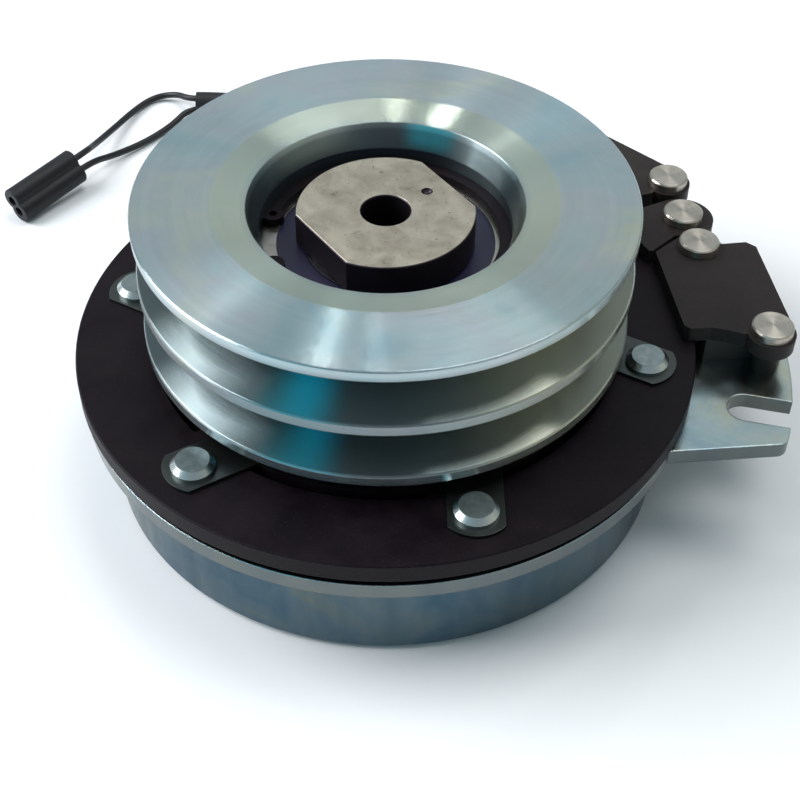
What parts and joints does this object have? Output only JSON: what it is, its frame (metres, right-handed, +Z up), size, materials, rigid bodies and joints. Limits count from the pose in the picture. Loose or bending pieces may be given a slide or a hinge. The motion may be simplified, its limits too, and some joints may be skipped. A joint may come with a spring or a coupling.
{
  "type": "electromagnetic clutch",
  "caption": "Electric clutch and brake: a belt pulley on a keyed crankshaft hub over a round coil housing with a slotted torque plate, brake shoes and a wired connector.",
  "frame": {"origin": "on the clutch's axis, at the mouth of the crankshaft bore, in the bottom face that the clutch stands on", "axes": "+Z up along the axis of rotation, from the crankshaft side to the pulley's open face; +X out through the middle of the torque slot; +Y completes a right-handed frame"},
  "size_m": [0.2883, 0.2616, 0.095],
  "materials": {
    "zinc_plated_steel": "zinc plated with a pale passivation film",
    "machined_steel": "turned and lightly oiled",
    "blackened_steel": "black oxide",
    "turned_steel": "turned",
    "spring_steel": "tempered strip",
    "bearing_steel": "ground",
    "seal_rubber": "moulded, satin",
    "magnet": "sintered",
    "bobbin_plastic": "filled resin",
    "copper_winding": "enamelled copper wire",
    "lead_rubber": "extruded, satin",
    "connector_plastic": "moulded, satin",
    "terminal_brass": "bright"
  },
  "bodies": {
    "field": {"field_case": "zinc_plated_steel", "field_core": "zinc_plated_steel", "torque_plate": "zinc_plated_steel", "coil_bobbin": "bobbin_plastic", "coil_winding": "copper_winding", "coil_potting": "bobbin_plastic", "field_bearing_outer_race": "bearing_steel", "field_bearing_lower_seal": "seal_rubber", "field_bearing_upper_seal": "seal_rubber", "field_snap_ring": "blackened_steel", "brake_shoe_lower": "blackened_steel", "brake_shoe_middle": "blackened_steel", "brake_shoe_upper": "blackened_steel", "brake_magnet_lower": "magnet", "brake_magnet_middle": "magnet", "brake_magnet_upper": "magnet", "brake_spacers": "turned_steel", "brake_pins": "turned_steel", "lead_grommet": "lead_rubber", "lead_sleeve": "lead_rubber", "lead_wire_a": "lead_rubber", "lead_wire_b": "lead_rubber", "connector_housing": "connector_plastic", "connector_terminals": "terminal_brass"},
    "rotor": {"rotor": "blackened_steel", "rotor_hub": "machined_steel", "hub_collar": "machined_steel", "field_bearing_inner_race": "bearing_steel", "pulley_bearing_inner_race": "bearing_steel"},
    "pulley": {"pulley": "machined_steel", "pulley_bearing_outer_race": "bearing_steel", "pulley_bearing_lower_seal": "seal_rubber", "pulley_bearing_upper_seal": "seal_rubber", "pulley_snap_ring": "blackened_steel", "pulley_rivets": "turned_steel", "leaf_spring_1": "spring_steel", "leaf_spring_2": "spring_steel", "leaf_spring_3": "spring_steel", "leaf_spring_4": "spring_steel", "leaf_spring_5": "spring_steel", "leaf_spring_6": "spring_steel"},
    "armature": {"armature": "blackened_steel", "armature_rivets": "turned_steel"},
    "field_ball_set": {"field_bearing_balls": "bearing_steel", "field_bearing_cage": "bearing_steel"},
    "pulley_ball_set": {"pulley_bearing_balls": "bearing_steel", "pulley_bearing_cage": "bearing_steel"}
  },
  "joints": [
    {"name": "rotor_spin", "type": "hinge", "parent": "field", "child": "rotor", "pos_m": [0, 0, 0.012], "axis": [0, 0, 1], "continuous": true},
    {"name": "pulley_spin", "type": "hinge", "parent": "rotor", "child": "pulley", "pos_m": [0, 0, 0.071], "axis": [0, 0, 1], "continuous": true},
    {"name": "armature_slide", "type": "slide", "parent": "pulley", "child": "armature", "axis": [0, 0, -1], "range_m": [0, 0.00045], "stiffness_N_per_m": 60000, "deforming": ["leaf_spring_1", "leaf_spring_2", "leaf_spring_3", "leaf_spring_4", "leaf_spring_5", "leaf_spring_6"]},
    {"name": "field_cage_spin", "type": "hinge", "parent": "field", "child": "field_ball_set", "pos_m": [0, 0, 0.012], "axis": [0, 0, 1], "continuous": true},
    {"name": "pulley_cage_spin", "type": "hinge", "parent": "rotor", "child": "pulley_ball_set", "pos_m": [0, 0, 0.071], "axis": [0, 0, 1], "continuous": true}
  ],
  "couplings": [
    {"joint": "field_cage_spin", "follows": "rotor_spin", "ratio": 0.42667},
    {"joint": "pulley_cage_spin", "follows": "pulley_spin", "ratio": 0.6028}
  ]
}
